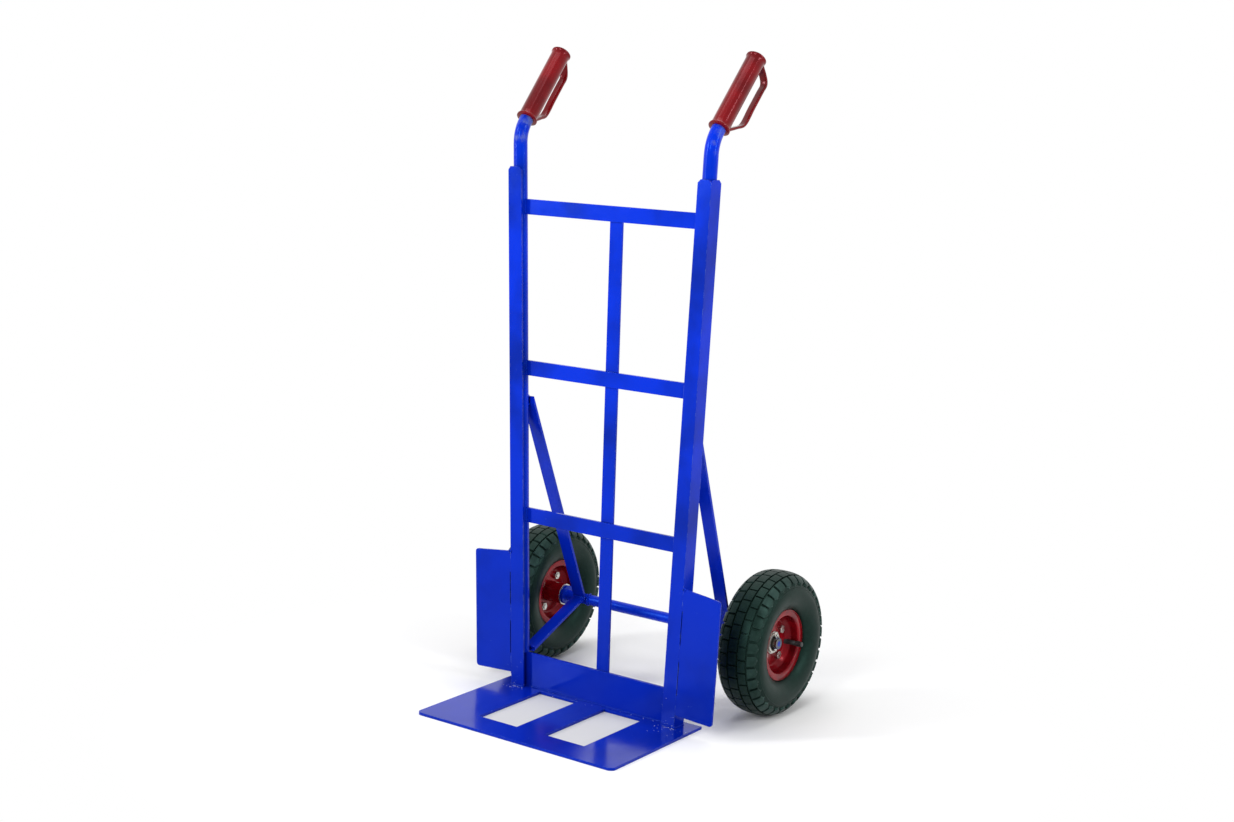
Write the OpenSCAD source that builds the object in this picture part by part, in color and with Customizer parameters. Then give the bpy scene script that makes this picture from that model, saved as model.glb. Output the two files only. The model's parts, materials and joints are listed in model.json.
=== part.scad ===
// Hand truck with a welded steel frame and two pneumatic wheels.
// X runs across (left is -X, seen from the front), the toe plate points to -Y, Z is up.
// The origin is on the floor, midway between the rails, at their front plane.

/* [Rails] */
// Half the width over the two rails at the floor
foot_half_w = 181; // [150:1:220]
// Lean of each rail outward from the upright, in degrees
rail_splay = 1.97; // [0:0.01:3]
// Turn of each rail about its own corner, so that the front flanges face slightly inward
rail_turn = 3; // [0:0.5:6]
// Height of the rails
rail_h = 952; // [800:1:1100]
// Width of each flange of the angle section
rail_flange = 28; // [26:1:40]
// Thickness of the angle section
rail_t = 3; // [2:0.5:5]
// Snipped corner at the top of each flange
rail_snip = 6; // [0:1:10]

/* [Handles] */
// Outer diameter of the handle tube
tube_d = 25; // [20:0.5:32]
// Wall of the handle tube
tube_wall = 2; // [1:0.5:4]
// Height of the start of the bend above the top of the rails
bend_above = 40; // [10:1:80]
// Radius of the bend on the tube's centre line
bend_r = 60; // [40:1:90]
// Angle of the bend
rake = 41; // [20:1:60]
// Length of tube between the bend and the grip
neck = 4; // [0:1:40]
// Length of the grip
grip_l = 156; // [120:1:180]
// Outer diameter of the grip
grip_d = 33; // [30:1:44]
// Outer diameter of the lip at the foot of the grip
lip_d = 38; // [36:1:52]
// Height of that lip
lip_h = 3; // [2:0.5:6]
// Thickness of the closed end of the grip
grip_cap = 5; // [3:1:10]
// Clear distance between the grip and its knuckle guard
finger_gap = 23; // [18:1:35]
// Thickness of the knuckle guard
guard_t = 5; // [3:0.5:8]
// Width of the knuckle guard
guard_w = 14.5; // [8:0.5:20]
// Turn of the knuckle guard outward about the grip, in degrees
guard_turn = 11; // [0:1:20]

/* [Frame bars] */
// Height of the crossbars
bar_h = 27; // [20:1:40]
// Thickness of the crossbars and struts
bar_t = 5; // [3:0.5:8]
// Height of the middle of the lower crossbar above the floor
lower_z = 326; // [280:1:420]
// Distance from each crossbar to the next one up, middle to middle
bar_pitch_low = 269; // [200:1:300]
// Distance from the middle crossbar to the top one
bar_pitch_top = 287; // [200:1:300]
// Width of the centre bar
centre_w = 26; // [20:1:40]
// Thickness of the centre bar
centre_t = 4; // [3:0.5:8]
// How far the centre bar stands to the right of the middle
centre_off = 11; // [-40:1:40]
// Length of the centre bar's lap on the top crossbar and on the back plate
centre_lap = 18; // [5:1:25]
// Width of the struts
strut_w = 25; // [15:1:28]
// Height at which the upper strut meets the tube
strut_top_z = 528; // [420:1:700]
// How far the struts stand inboard of the tubes' middle
strut_in = 6; // [0:0.5:8]

/* [Toe plate] */
// Half width of the toe plate
toe_half_w = 212.5; // [200:0.5:260]
// Length of the toe plate forward of the rails
toe_front = 225; // [200:1:320]
// Length of the toe plate behind the rails' front plane
toe_rear = 40; // [35:1:60]
// Thickness of the toe plate
toe_t = 5; // [4:0.5:8]
// Radius of its front corners
toe_corner = 10; // [2:1:20]
// Distance from the middle to each cut-out
slot_in = 30; // [15:1:45]
// Width of each cut-out
slot_w = 85; // [40:1:110]
// Length of each cut-out
slot_l = 173; // [100:1:180]
// Rear edge of the cut-outs behind the rails' front plane
slot_rear = 2; // [-20:1:8]
// Height of the back plate's top edge above the floor
back_top = 68; // [40:1:90]

/* [Wing plates] */
// Width of the wing plates
wing_w = 79; // [50:1:110]
// Height of the wing plates' lower edge along the rail
wing_low = 29; // [15:1:45]
// Height of the wing plates' upper edge along the rail
wing_top = 257; // [240:1:320]
// Drop of the upper edge at the outer corner
wing_drop = 5; // [0:1:12]
// Thickness of the wing plates
wing_t = 3; // [2:0.5:5]
// Radius of the outer corners
wing_corner = 6; // [2:1:12]
// Height of the lower slot beside the rail
slot_low_z = 65; // [50:1:80]
// Height of the upper slot beside the rail
slot_up_z = 156; // [140:1:170]
// Length of each slot beside the rail
stitch_l = 61; // [30:1:70]
// Width of each slot beside the rail
stitch_w = 1.6; // [1:0.2:4]

/* [Axle] */
// Diameter of the axle
axle_d = 20; // [16:0.5:25]
// Distance of the axle behind the rails' front plane
axle_y = 195; // [175:1:230]
// Diameter of the welded collars and of the washers
collar_d = 36; // [30:1:44]
// Thickness of the collars
collar_t = 5.5; // [3:0.5:10]
// Thickness of the washers
washer_t = 2.5; // [1:0.5:4]
// Diameter of the split pins
pin_d = 3.8; // [2:0.2:5]
// Length of axle beyond the washer
axle_tail = 9; // [7:1:20]

/* [Wheels] */
// How far each wheel is turned at rest
wheel_turn = 35; // [0:5:90]
// Outer radius of the tyre, which is also the height of the axle
tyre_r = 130; // [120:1:150]
// Width of the tyre
tyre_w = 86; // [70:1:100]
// Distance from the middle of the truck to the middle of each wheel
wheel_x = 252; // [245:1:300]
// Thickness of the tyre under the tread
tread_t = 9; // [5:1:14]
// Thickness of the tyre's side walls
side_t = 5.5; // [3:0.5:8]
// Wall of the inner tube
inner_wall = 2; // [1:0.5:4]
// Radius of the seat that the tyre's beads sit on
seat_r = 54; // [50:1:60]
// Radius over the rim's rolled edge
rim_r = 64; // [60:1:70]
// Distance from the wheel's middle to the outside of the rim's edge
rim_half_w = 29; // [26:1:34]
// Thickness of the rim's pressed sheet
rim_t = 2.4; // [1.6:0.2:3]
// Radius at which the rim's flat centre ends
disc_r = 43; // [40:1:44]
// Outer diameter of the hub tube
hub_d = 40; // [36:1:46]
// Wall of the hub tube
hub_wall = 4; // [2:0.5:4.5]
// Reach of the hub inboard of the wheel's middle
hub_in = 43; // [36:1:52]
// Reach of the hub outboard of the wheel's middle
hub_out = 5; // [5:1:12]
// Thickness of the hub end caps' flanges
cap_t = 1.2; // [0.8:0.2:2]
// Depth of the hub end caps inside the tube
cap_plug = 2; // [1:0.5:2.5]
// Number of rollers in each hub
roller_count = 10; // [6:1:12]
// Diameter of the rim bolts
bolt_d = 8; // [6:1:10]
// Radius of the rim bolts' circle
bolt_circle = 33; // [30:0.5:34]
// Number of rim bolts
bolt_count = 4; // [3:1:6]
// Width across the corners of the bolt heads and nuts
hex_d = 15; // [12:0.5:16]
// Height of the bolt heads
head_h = 5.3; // [4:0.1:7]
// Height of the nuts
nut_h = 6.5; // [5:0.1:8]
// Radius at which the valve leaves the rim
valve_r = 48; // [47:0.5:50]
// Diameter of the valve stem
stem_d = 6; // [5:0.5:6.5]
// Reach of the valve cap outboard of the wheel's middle
valve_out = 38; // [30:1:45]
// Length of the valve cap
valve_cap_l = 11; // [8:1:14]

/* [Clearances] */
// Gap between parts that touch but are separate pieces
seat_gap = 0.05; // [0.02:0.01:0.1]
// Gap at each end of the hub, so that the wheel turns
end_gap = 0.5; // [0.3:0.1:1]
// Gap around soft rubber parts
soft_gap = 0.4; // [0.3:0.1:1]
// Gap around bolts and the valve in their holes
hole_gap = 0.2; // [0.1:0.1:0.5]

/* [Hidden] */
$fn = 96;
left = -1;
right = 1;
// Larger than the whole truck, for cuts that trim an end flat
big = 3000;

tube_r = tube_d / 2;
bend_start = rail_h + bend_above;
// How much bending thins the tube's wall on each side
bend_draw = 0.1;
// Place of the tube's centre line in the rail's own corner, after the rail's turn
nest = rail_t + tube_r + seat_gap;
tube_x = nest * (sin(rail_turn) - cos(rail_turn));
tube_y = nest * (sin(rail_turn) + cos(rail_turn));
bar_back = tube_y + bar_t / 2;
middle_z = lower_z + bar_pitch_low;
top_z = middle_z + bar_pitch_top;

axle_z = tyre_r;
axle_r = axle_d / 2;
hub_r = hub_d / 2;
hub_bore = hub_r - hub_wall;
roller_r = (hub_bore - axle_r) / 2 - seat_gap;
roller_circle = (hub_bore + axle_r) / 2;
// Places along the wheel's own axle line, positive outboard
collar_face = -hub_in - end_gap;
washer_face = hub_out + end_gap;
pin_place = washer_face + washer_t + pin_d / 2 + 1;
axle_end = washer_face + washer_t + axle_tail;

// Carries a part from the right rail's frame, whose Z runs up the rail's corner
module on_side(side) {
    mirror([side < 0 ? 1 : 0, 0, 0])
        translate([foot_half_w, 0, 0]) rotate([0, rail_splay, 0]) children();
}

// The same frame turned with the rail about its corner
module on_rail(side) {
    on_side(side) rotate([0, 0, -rail_turn]) children();
}

// Carries a part drawn about its own Z axis to one end of the axle, Z pointing outboard
// from the middle of the wheel there
module on_axle(side) {
    translate([side * wheel_x, axle_y, axle_z]) rotate([0, side * 90, 0])
        rotate([0, 0, side < 0 ? 180 : 0]) children();
}

// The same for a part that turns with the wheel
module on_wheel(side) {
    on_axle(side) rotate([0, 0, wheel_turn]) children();
}

// Everything below a level, for trimming a foot flat
module below(level) {
    translate([-big / 2, -big / 2, level - big]) cube(big);
}

// Points of an arc
function arc(centre, r, from, to, steps = 8) =
    [for (i = [0:steps]) let (a = from + (to - from) * i / steps) centre + r * [cos(a), sin(a)]];

// A corner of a path, rounded by a curve that starts trim short of it
function eased(before, corner, after, trim, steps = 6) =
    let (a = corner + (before - corner) * trim / norm(before - corner),
         b = corner + (after - corner) * trim / norm(after - corner))
    [for (i = [0:steps]) let (t = i / steps)
        (1 - t) * (1 - t) * a + 2 * t * (1 - t) * corner + t * t * b];

// Direction across a path at one of its points
function across(path, i) =
    let (d = path[min(i + 1, len(path) - 1)] - path[max(i - 1, 0)]) [-d[1], d[0]] / norm(d);

// Outline of a strip of thickness t whose middle follows a path
function ribbon(path, t) = concat(
    [for (i = [0:len(path) - 1]) path[i] + across(path, i) * t / 2],
    [for (i = [len(path) - 1:-1:0]) path[i] - across(path, i) * t / 2]);

// One flange of the angle, with snipped top corners
module flange_shape(w, h) {
    polygon([[0, 0], [w, 0], [w, h - rail_snip], [w - rail_snip, h],
        [rail_snip, h], [0, h - rail_snip]]);
}

module rail(side) {
    color("mediumblue") difference() {
        on_rail(side) union() {
            translate([-rail_flange, rail_t, 0]) rotate([90, 0, 0])
                linear_extrude(rail_t) flange_shape(rail_flange, rail_h);
            translate([-rail_t, 0, 0]) rotate([90, 0, 90])
                linear_extrude(rail_t) flange_shape(rail_flange, rail_h);
        }
        below(toe_t);
    }
}

// Frame at the end of the bend, Z along the raked end of the tube
module on_neck() {
    translate([0, bend_r * (1 - cos(rake)), bend_start + bend_r * sin(rake)])
        rotate([-rake, 0, 0]) children();
}

// Section of the handle tube, its wall drawn in on both sides
module tube_section(draw = 0) {
    difference() {
        circle(r = tube_r - draw);
        circle(r = tube_r - tube_wall + draw);
    }
}

module handle_tube(side) {
    tube_past = neck + grip_l - grip_cap - seat_gap;
    color("mediumblue") difference() {
        on_side(side) translate([tube_x, tube_y, 0]) union() {
            linear_extrude(bend_start) tube_section();
            translate([0, bend_r, bend_start]) rotate([90, 0, 90]) rotate([0, 0, 180 - rake])
                rotate_extrude(angle = rake) translate([bend_r, 0]) tube_section(bend_draw);
            on_neck() linear_extrude(tube_past) tube_section();
        }
        below(back_top);
    }
}

// Path of the knuckle guard: along the grip, and out from its axis
function guard_path() =
    let (out = grip_d / 2 + finger_gap + guard_t / 2, root = grip_d / 2 - 1.5,
         foot = [7, root], low = [grip_l * 0.29, out], high = [grip_l * 0.85, out],
         head = [grip_l * 0.96, root])
    concat([foot], eased(foot, low, high, 11), eased(low, high, head, 9), [head]);

module grip(side) {
    color("firebrick") on_side(side) translate([tube_x, tube_y, 0]) on_neck()
    translate([0, 0, neck]) difference() {
        union() {
            cylinder(r = grip_d / 2, h = grip_l);
            cylinder(r = lip_d / 2, h = lip_h);
            translate([0, 0, grip_l - grip_cap]) cylinder(r = lip_d / 2 - 1, h = grip_cap - 1);
            rotate([0, 0, -guard_turn]) rotate([0, -90, 0]) translate([0, 0, -guard_w / 2])
                linear_extrude(guard_w) polygon(ribbon(guard_path(), guard_t));
        }
        translate([0, 0, -1]) cylinder(r = tube_r + seat_gap, h = grip_l - grip_cap + 1);
    }
}

// A crossbar between the tubes, its ends shaped to them
module crossbar(z) {
    color("mediumblue") difference() {
        translate([-foot_half_w - z * tan(rail_splay) - tube_x, tube_y - bar_t / 2, z - bar_h / 2])
            cube([2 * (foot_half_w + z * tan(rail_splay) + tube_x), bar_t, bar_h]);
        for (side = [left, right]) on_side(side) translate([tube_x, tube_y, 0])
            cylinder(r = tube_r + seat_gap, h = rail_h);
    }
}

module centre_bar() {
    low = back_top - centre_lap;
    color("mediumblue") translate([centre_off - centre_w / 2, bar_back, low])
        cube([centre_w, centre_t, top_z - bar_h / 2 + centre_lap - low]);
}

module back_plate() {
    // Half width that just fits between the rails' side flanges, at a height
    function fit(z) = foot_half_w + z * tan(rail_splay) - rail_t * cos(rail_turn)
        + (tube_y - bar_t / 2) * sin(rail_turn) - 2 * seat_gap;
    color("mediumblue") translate([0, bar_back, 0]) rotate([90, 0, 0]) linear_extrude(bar_t)
        polygon([[-fit(toe_t), toe_t], [fit(toe_t), toe_t], [fit(back_top), back_top],
            [-fit(back_top), back_top]]);
}

module toe_plate() {
    edge = toe_half_w - toe_corner;
    color("mediumblue") linear_extrude(toe_t) difference() {
        polygon(concat([[-toe_half_w, toe_rear]],
            arc([-edge, toe_corner - toe_front], toe_corner, 180, 270),
            arc([edge, toe_corner - toe_front], toe_corner, 270, 360),
            [[toe_half_w, toe_rear]]));
        for (side = [left, right]) translate([side * (slot_in + slot_w / 2), slot_rear - slot_l / 2])
            square([slot_w, slot_l], center = true);
    }
}

module wing_plate(side) {
    r = wing_corner;
    color("mediumblue") on_rail(side) translate([0, wing_t, 0]) rotate([90, 0, 0])
    linear_extrude(wing_t) difference() {
        polygon(concat([[seat_gap, wing_top], [seat_gap, wing_low]],
            arc([wing_w - r, wing_low + r], r, 270, 360),
            arc([wing_w - r, wing_top - wing_drop - r], r, 0, 90)));
        for (z = [slot_low_z, slot_up_z]) translate([0, z]) square([stitch_w, stitch_l]);
    }
}

// The V of the two struts in the plane across the axle. Its corner bears on the axle's front.
tube_back = tube_y + tube_r + seat_gap;
v_upper = [tube_back + bar_t, strut_top_z];
v_lower = [tube_back, back_top];
v_axle = [axle_y, axle_z];
v_open = let (u = (v_upper - v_axle) / norm(v_upper - v_axle),
              w = (v_lower - v_axle) / norm(v_lower - v_axle)) (u + w) / norm(u + w);
v_tip = v_axle + v_open * (axle_r + seat_gap);
v_inner = v_tip + v_open * bar_t * sqrt(2);

// A strut from the V's corner to the tube, cut flat against the tube's back
module strut(side, end) {
    along = (end - v_tip) / norm(end - v_tip);
    side_step = (v_open - (v_open * along) * along);
    step = side_step / norm(side_step) * bar_t;
    color("mediumblue") difference() {
        on_side(side) translate([tube_x - strut_in - strut_w / 2, 0, 0]) rotate([90, 0, 90])
        linear_extrude(strut_w) difference() {
            polygon([v_tip, end + along * rail_flange, end + step + along * rail_flange, v_inner]);
            translate([tube_back - 2 * rail_flange, 0]) square([2 * rail_flange, rail_h]);
        }
        translate([0, axle_y, axle_z]) rotate([0, 90, 0])
            cylinder(r = axle_r + seat_gap, h = big, center = true);
    }
}

module upper_strut(side) {
    strut(side, v_upper);
}

module lower_strut(side) {
    strut(side, v_lower);
}

module axle_shaft() {
    color("mediumblue") difference() {
        translate([0, axle_y, axle_z]) rotate([0, 90, 0])
            cylinder(r = axle_r, h = 2 * (wheel_x + axle_end), center = true);
        for (side = [left, right]) on_axle(side) translate([0, 0, pin_place])
            rotate([0, 90, 0]) cylinder(r = pin_d / 2 + seat_gap, h = 2 * axle_d, center = true);
    }
}

// A flat ring about the wheel's axle line, from one place to another
module ring(inner, outer, from, to) {
    translate([0, 0, from]) difference() {
        cylinder(r = outer, h = to - from);
        translate([0, 0, -1]) cylinder(r = inner, h = to - from + 2);
    }
}

module axle_collars() {
    color("mediumblue") for (side = [left, right]) on_axle(side)
        ring(axle_r + seat_gap, collar_d / 2, collar_face - collar_t, collar_face);
}

module axle_washers() {
    color("silver") for (side = [left, right]) on_axle(side)
        ring(axle_r + seat_gap, collar_d / 2, washer_face, washer_face + washer_t);
}

// Split pins: a round shank through the axle, an eye on top and two legs turned up below
module split_pins() {
    eye_r = pin_d * 1.1;
    leg = axle_r + pin_d;
    color("silver") for (side = [left, right]) on_axle(side) translate([0, 0, pin_place])
    rotate([0, -90, 0]) {
        translate([0, 0, -leg]) cylinder(r = pin_d / 2, h = leg + axle_r + pin_d / 2);
        translate([0, 0, axle_r + pin_d / 2 + eye_r]) rotate([0, 90, 0]) rotate_extrude()
            translate([eye_r, 0]) circle(r = pin_d * 0.3);
        for (way = [-1, 1]) translate([0, 0, -leg + pin_d / 4]) rotate([way * 60, 0, 0])
            cylinder(r = pin_d * 0.25, h = pin_d * 1.8);
    }
}

// A rounded tyre section, half of it: up the bead inside the rim's edge, out over the side
// wall to its widest place, and in to the crown. Its points are [radius, half width].
waist_r = (tyre_r + rim_r) / 2 - 1;
edge_r = rim_r + soft_gap;
function half_section(crown, wide, bead_r, bead_x, steps = 9) = concat(
    [[bead_r, bead_x]],
    [for (i = [0:steps - 1]) let (t = 90 * i / steps)
        [waist_r - (waist_r - edge_r) * cos(t), bead_x + (wide - bead_x) * sin(t)]],
    [for (i = [0:steps]) let (t = 90 * i / steps)
        [waist_r + (crown - waist_r) * pow(sin(t), 0.7), wide * pow(cos(t), 0.55)]]);
// A whole section from the outboard half: up one side and down the other
function both(half) = concat(half,
    [for (i = [len(half) - 2:-1:0]) [half[i][0], -half[i][1]]]);
bead_x = rim_half_w - 2 * rim_t - soft_gap;
bead_r = seat_r + soft_gap;
bead_t = side_t + 2;

module tyre(side) {
    color("darkslategray") on_wheel(side) rotate_extrude($fn = 180) difference() {
        polygon(both(half_section(tyre_r, tyre_w / 2, bead_r, bead_x)));
        polygon(both(half_section(tyre_r - tread_t, tyre_w / 2 - side_t, bead_r - 1,
            bead_x - bead_t)));
    }
}

// Inner radius of the inner tube where it bridges the two beads
tube_in_r = seat_r + 3;

module inner_tube(side) {
    module oval(in) {
        gap = soft_gap + in;
        polygon(both(half_section(tyre_r - tread_t - gap, tyre_w / 2 - side_t - gap,
            tube_in_r + in, bead_x - bead_t - gap)));
    }
    color("dimgray") on_wheel(side) rotate_extrude() difference() {
        oval(0);
        oval(inner_wall);
    }
}

// Path of one rim half, [radius, distance outboard]: centre, dish, bead seat, rolled edge
function rim_path() =
    let (mid = rim_t / 2, seat = seat_r - mid,
         a = [hub_r + seat_gap, mid], b = [disc_r, mid], c = [seat - 1, 11],
         d = [seat, rim_half_w - 1.5 * rim_t], e = [rim_r - 1.5 * mid, rim_half_w - 1.5 * rim_t],
         f = [rim_r - mid, rim_half_w - mid])
    concat([a], eased(a, b, c, 3), eased(b, c, d, 4), eased(c, d, e, 3), [e], [f]);

module rim_half() {
    difference() {
        rotate_extrude() polygon(ribbon(rim_path(), rim_t));
        for (i = [1:bolt_count]) rotate([0, 0, 360 * i / bolt_count]) translate([bolt_circle, 0, -1])
            cylinder(r = bolt_d / 2 + hole_gap, h = rim_t + 2);
        rotate([0, 0, valve_turn]) translate([valve_r, 0, 0])
            cylinder(r = stem_d / 2 + hole_gap, h = rim_half_w);
    }
}
// The valve sits midway between two bolts
valve_turn = 180 / bolt_count;

module rim_outer(side) {
    color("firebrick") on_wheel(side) rim_half();
}

module rim_inner(side) {
    color("firebrick") on_wheel(side) mirror([0, 0, 1]) rim_half();
}

module hub(side) {
    color("firebrick") on_wheel(side) ring(hub_bore, hub_r, cap_t - hub_in, hub_out - cap_t);
}

module hub_caps(side) {
    shaft_hole = axle_r + 0.3;
    color("silver") on_wheel(side) for (end = [[-hub_in, 1], [hub_out, -1]])
        translate([0, 0, end[0]]) mirror([0, 0, end[1] < 0 ? 1 : 0]) union() {
            ring(shaft_hole, hub_r, 0, cap_t);
            ring(shaft_hole, hub_bore - seat_gap, 0, cap_t + cap_plug);
        }
}

// Places of the cage between the two end caps
cage_from = -hub_in + cap_t + cap_plug + seat_gap * 4;
cage_to = hub_out - cap_t - cap_plug - seat_gap * 4;
cage_end = 2.5;

module roller_cage(side) {
    cage_t = roller_r * 1.2;
    color("goldenrod") on_wheel(side) difference() {
        ring(roller_circle - cage_t / 2, roller_circle + cage_t / 2, cage_from, cage_to);
        for (i = [1:roller_count]) rotate([0, 0, 360 * i / roller_count])
            translate([roller_circle - roller_r, -roller_r - seat_gap, cage_from + cage_end])
                cube([roller_r * 2, 2 * (roller_r + seat_gap), cage_to - cage_from - 2 * cage_end]);
    }
}

module rollers(side) {
    color("lightgray") on_wheel(side) for (i = [1:roller_count])
        rotate([0, 0, 360 * i / roller_count])
        translate([roller_circle, 0, cage_from + cage_end + seat_gap])
            cylinder(r = roller_r, h = cage_to - cage_from - 2 * (cage_end + seat_gap), $fn = 36);
}

// Carries a part to each rim bolt's place
module at_bolts() {
    for (i = [1:bolt_count]) rotate([0, 0, 360 * i / bolt_count])
        translate([bolt_circle, 0, 0]) children();
}

module rim_bolts(side) {
    shank = 2 * rim_t + nut_h + 2;
    color("silver") on_wheel(side) at_bolts() translate([0, 0, rim_t]) {
        cylinder(r = hex_d / 2, h = head_h, $fn = 6);
        translate([0, 0, -shank]) cylinder(r = bolt_d / 2, h = shank + 1);
    }
}

module rim_nuts(side) {
    color("silver") on_wheel(side) at_bolts() translate([0, 0, -rim_t - nut_h]) difference() {
        cylinder(r = hex_d / 2, h = nut_h, $fn = 6);
        translate([0, 0, -1]) cylinder(r = bolt_d / 2 + seat_gap, h = nut_h + 2);
    }
}

// The stem rises from the inner tube, turns and passes out through the outer rim half
module valve_stem(side) {
    color("dimgray") on_wheel(side) rotate([0, 0, valve_turn]) {
        translate([valve_r, 0, 0]) rotate([0, 90, 0])
            cylinder(r = stem_d / 2, h = tube_in_r - soft_gap - valve_r);
        translate([valve_r, 0, 0]) sphere(r = stem_d / 2);
        translate([valve_r, 0, 0]) cylinder(r = stem_d / 2, h = valve_out - valve_cap_l - seat_gap);
    }
}

module valve_cap(side) {
    color("black") on_wheel(side) rotate([0, 0, valve_turn])
    translate([valve_r, 0, valve_out - valve_cap_l]) union() {
        cylinder(r = stem_d / 2 + 1, h = valve_cap_l - 2);
        cylinder(r = stem_d / 2 + 0.2, h = valve_cap_l);
    }
}

rail(left);  // rail_left
rail(right);  // rail_right
handle_tube(left);  // handle_tube_left
handle_tube(right);  // handle_tube_right
grip(left);  // grip_left
grip(right);  // grip_right
crossbar(top_z);  // crossbar_top
crossbar(middle_z);  // crossbar_middle
crossbar(lower_z);  // crossbar_lower
centre_bar();
back_plate();
toe_plate();
wing_plate(left);  // wing_plate_left
wing_plate(right);  // wing_plate_right
upper_strut(left);  // upper_strut_left
upper_strut(right);  // upper_strut_right
lower_strut(left);  // lower_strut_left
lower_strut(right);  // lower_strut_right
axle_shaft();
axle_collars();
axle_washers();
split_pins();
tyre(left);  // tyre_left
inner_tube(left);  // inner_tube_left
rim_outer(left);  // rim_outer_left
rim_inner(left);  // rim_inner_left
hub(left);  // hub_left
hub_caps(left);  // hub_caps_left
rim_bolts(left);  // rim_bolts_left
rim_nuts(left);  // rim_nuts_left
valve_stem(left);  // valve_stem_left
valve_cap(left);  // valve_cap_left
roller_cage(left);  // roller_cage_left
rollers(left);  // rollers_left
tyre(right);  // tyre_right
inner_tube(right);  // inner_tube_right
rim_outer(right);  // rim_outer_right
rim_inner(right);  // rim_inner_right
hub(right);  // hub_right
hub_caps(right);  // hub_caps_right
rim_bolts(right);  // rim_bolts_right
rim_nuts(right);  // rim_nuts_right
valve_stem(right);  // valve_stem_right
valve_cap(right);  // valve_cap_right
roller_cage(right);  // roller_cage_right
rollers(right);  // rollers_right
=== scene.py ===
import bpy
import bmesh
import json
import math
import random
from mathutils import Matrix, Vector, noise


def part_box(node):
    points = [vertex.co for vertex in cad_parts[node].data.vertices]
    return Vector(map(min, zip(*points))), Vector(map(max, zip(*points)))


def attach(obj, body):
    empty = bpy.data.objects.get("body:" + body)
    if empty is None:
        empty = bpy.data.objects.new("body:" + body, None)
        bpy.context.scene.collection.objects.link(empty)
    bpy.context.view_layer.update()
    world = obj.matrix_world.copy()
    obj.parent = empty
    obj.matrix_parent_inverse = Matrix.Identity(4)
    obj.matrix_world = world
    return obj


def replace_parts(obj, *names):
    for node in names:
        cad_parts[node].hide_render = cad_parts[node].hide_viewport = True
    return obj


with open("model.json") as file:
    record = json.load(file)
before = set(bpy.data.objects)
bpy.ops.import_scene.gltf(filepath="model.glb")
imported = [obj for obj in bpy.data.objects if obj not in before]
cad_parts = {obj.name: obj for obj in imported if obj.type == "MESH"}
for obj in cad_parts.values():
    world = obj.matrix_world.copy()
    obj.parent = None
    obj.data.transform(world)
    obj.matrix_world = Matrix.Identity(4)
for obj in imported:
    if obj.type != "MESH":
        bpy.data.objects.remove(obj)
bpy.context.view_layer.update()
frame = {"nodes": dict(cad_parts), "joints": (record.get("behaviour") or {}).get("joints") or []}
nodes = frame["nodes"]
sides = (("left", -1), ("right", 1))


# ---------------------------------------------------------------- blue enamel
# Every part of the frame is mild steel, welded up and then sprayed and baked in one coat of
# glossy royal blue enamel. Painted shade darkens its slots, inner corners and lower parts. The coat
# thins on the sharp edges, where handling wears it through to a pale primer, and it sets with a fine
# waviness.

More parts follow.
